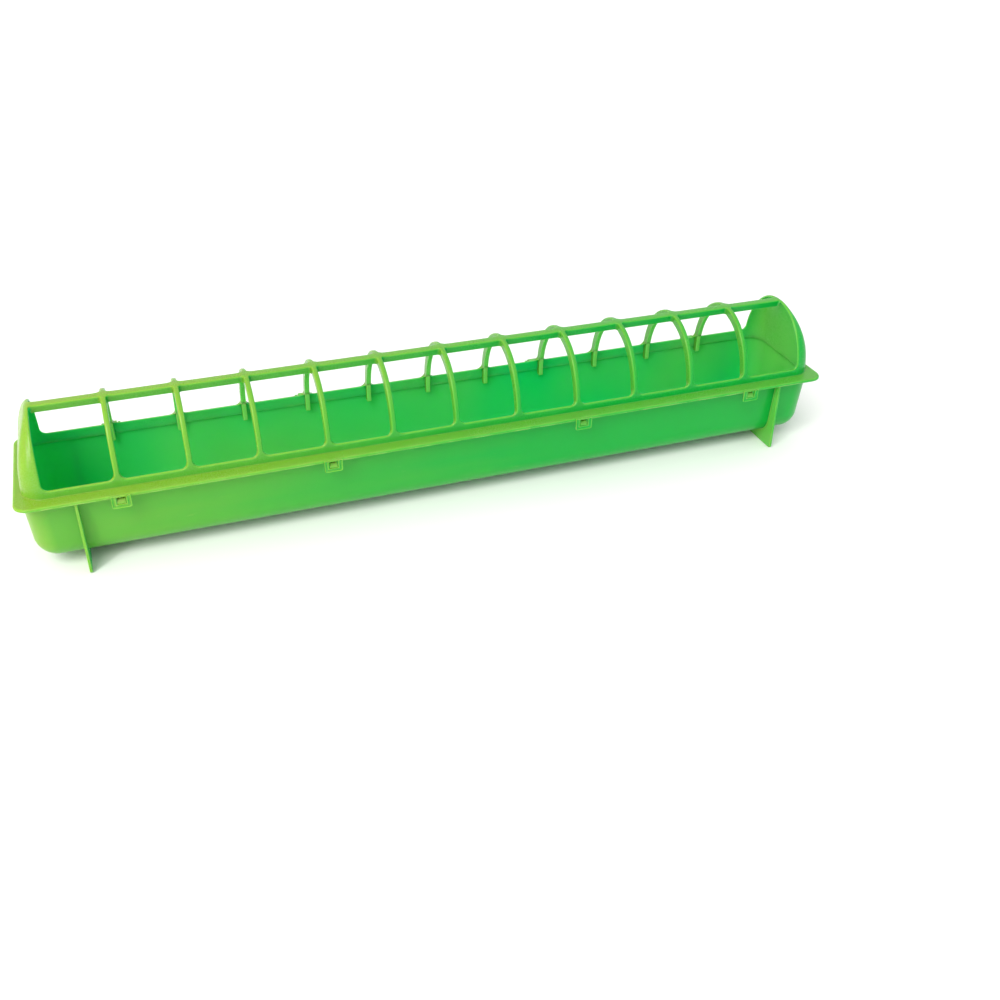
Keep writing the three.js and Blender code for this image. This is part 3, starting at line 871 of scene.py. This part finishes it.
def plastic(name, painted_lit_bias, roughness, ribbed=False):
    """Glossy lime polypropylene, a little translucent, with painted light: yellower towards the left, on
    edges and on upward faces, and bright green inside; with flow marks, fine grain, rubbed edges and scuffs."""
    nodes = Nodes(name)
    place = nodes.add("ShaderNodeTexCoord", "Object")
    normal = nodes.add("ShaderNodeTexCoord", "Normal")
    edge = nodes.spread(nodes.add("ShaderNodeNewGeometry", "Pointiness"), 0.5, 0.62)
    cloud = nodes.noise(place, 6.0)
    lean = nodes.parts(normal)

    # painted light: faces that look inwards take the brighter inner greens, as if lit through the walls, and
    # the ribs' inner faces the brightest of them
    inward = inward_share(nodes, place, normal)
    inner = inner_colour(nodes, place, lean)
    if ribbed:
        on_wall = wall_share(nodes, place)
        inward = nodes.math("MULTIPLY", inward, nodes.spread(on_wall, 0.0, 1.0, 0.9, 1.0))
        inner = nodes.mix(on_wall, RIB_GLOW, inner)
    outer = outer_colour(nodes, place, lean, edge, cloud, painted_lit_bias)
    colour = nodes.mix(nodes.math("MULTIPLY", inward, 0.9), outer, inner)

    scuff_way = nodes.add("ShaderNodeMapping", Vector=place, Scale=(60.0, 240.0, 240.0),
                          Rotation=(0.3, 0.2, 0.5))
    scuffs = nodes.spread(nodes.noise(scuff_way, 1.0, 4.0, 0.6), 0.64, 0.74)
    where = nodes.spread(nodes.noise(place, 14.0), 0.5, 0.66)
    worn = nodes.math("MULTIPLY", scuffs, where)
    rubbed = nodes.math("MULTIPLY", edge, nodes.spread(nodes.noise(place, 45.0, 3.0), 0.4, 0.62))
    colour = nodes.mix(nodes.math("MULTIPLY", rubbed, 0.45), colour, HAZE)
    colour = nodes.mix(nodes.math("MULTIPLY", worn, 0.12), colour, HAZE)

    grain = nodes.noise(place, 900.0)
    ripple = nodes.noise(place, 55.0)
    rough = nodes.weigh(nodes.centred(cloud), 0.14, roughness)
    rough = nodes.weigh(worn, 0.22, rough)
    rough = nodes.weigh(nodes.centred(grain), 0.06, rough)
    relief = nodes.weigh(worn, -0.25, nodes.weigh(grain, 0.06, ripple))
    bump = nodes.add("ShaderNodeBump", Strength=0.12, Distance=0.4 * MM, Height=relief)

    surface = {
        "Base Color": colour, "Roughness": rough, "Normal": bump, "IOR": 1.49, "Specular IOR Level": 0.28,
        "Subsurface Weight": 0.7, "Subsurface Radius": (0.35, 1.0, 0.3), "Subsurface Scale": 7 * MM,
        "Coat Weight": 0.06, "Coat Roughness": 0.12,
    }
    for socket, value in surface.items():
        nodes.plug(nodes.shader.inputs[socket], value)
    return nodes.material


cover_plastic = plastic("cover_polypropylene", painted_lit_bias=0.5, roughness=0.27, ribbed=True)
trough_plastic = plastic("trough_polypropylene", painted_lit_bias=0.46, roughness=0.31)
foot_plastic = plastic("foot_polypropylene", painted_lit_bias=0.6, roughness=0.34)
for pieces, look in ((cover_pieces, cover_plastic), (trough_pieces, trough_plastic),
                     (foot_pieces, foot_plastic)):
    for piece in pieces:
        piece.data.materials.append(look)


# ---- stage, light and camera ----
def pale_floor():
    nodes = Nodes("pale_floor")
    speck = nodes.noise(nodes.add("ShaderNodeTexCoord", "Object"), 3.0)
    shade = nodes.mix(speck, (0.90, 0.90, 0.90, 1), (0.93, 0.93, 0.93, 1))
    nodes.plug(nodes.shader.inputs["Base Color"], shade)
    nodes.plug(nodes.shader.inputs["Roughness"], 0.7)
    bpy.ops.mesh.primitive_plane_add(size=40)
    floor = bpy.context.object
    floor.name = "floor"
    floor.location.z = -0.3 * MM  # clear of the feet's undersides
    floor.data.materials.append(nodes.material)


def softbox(name, place, target, size, power):
    light = bpy.data.lights.new(name, "AREA")
    light.shape = "RECTANGLE"
    light.size, light.size_y = size
    light.energy = power
    lamp = bpy.data.objects.new(name, light)
    lamp.location = place
    lamp.rotation_euler = (Vector(target) - lamp.location).to_track_quat("-Z", "Y").to_euler()
    bpy.context.scene.collection.objects.link(lamp)


def studio():
    """An even white room, a soft sun from the front left, and a strip light for the gleams."""
    world = bpy.data.worlds.new("studio")
    world.use_nodes = True
    background = world.node_tree.nodes["Background"]
    background.inputs["Color"].default_value = (1, 1, 1, 1)
    background.inputs["Strength"].default_value = 0.88
    bpy.context.scene.world = world
    sun = bpy.data.lights.new("key", "SUN")
    sun.energy, sun.angle, sun.color = 1.65, math.radians(35), (1.0, 0.985, 0.94)
    key = bpy.data.objects.new("key", sun)
    key.rotation_euler = Vector((0.42, 0.5, -0.78)).to_track_quat("-Z", "Y").to_euler()
    bpy.context.scene.collection.objects.link(key)
    softbox("glint", (-1.5, -1.1, 1.1), (-0.3, 0, 0.12), (0.22, 1.5), 13)


def aimed_camera():
    """The camera stands in front and to the left of the feeder, looking down along it."""
    azimuth, elevation, roll = math.radians(20.2), math.radians(33.13), math.radians(0.83)
    ahead = Vector((math.sin(azimuth) * math.cos(elevation), math.cos(azimuth) * math.cos(elevation),
                    -math.sin(elevation)))
    level = Vector((math.cos(azimuth), -math.sin(azimuth), 0))
    above = level.cross(ahead)
    right = level * math.cos(roll) + above * math.sin(roll)
    up = above * math.cos(roll) - level * math.sin(roll)
    lens = bpy.data.cameras.new("camera")
    lens.sensor_width, lens.lens = 36, 39.82
    camera = bpy.data.objects.new("camera", lens)
    turned = Matrix((right, up, -ahead)).transposed().to_4x4()
    camera.matrix_world = Matrix.Translation((-0.3504, -1.17035, 0.7530)) @ turned
    bpy.context.scene.collection.objects.link(camera)
    bpy.context.scene.camera = camera


pale_floor()
studio()
aimed_camera()
bpy.context.scene.view_settings.view_transform = "Standard"
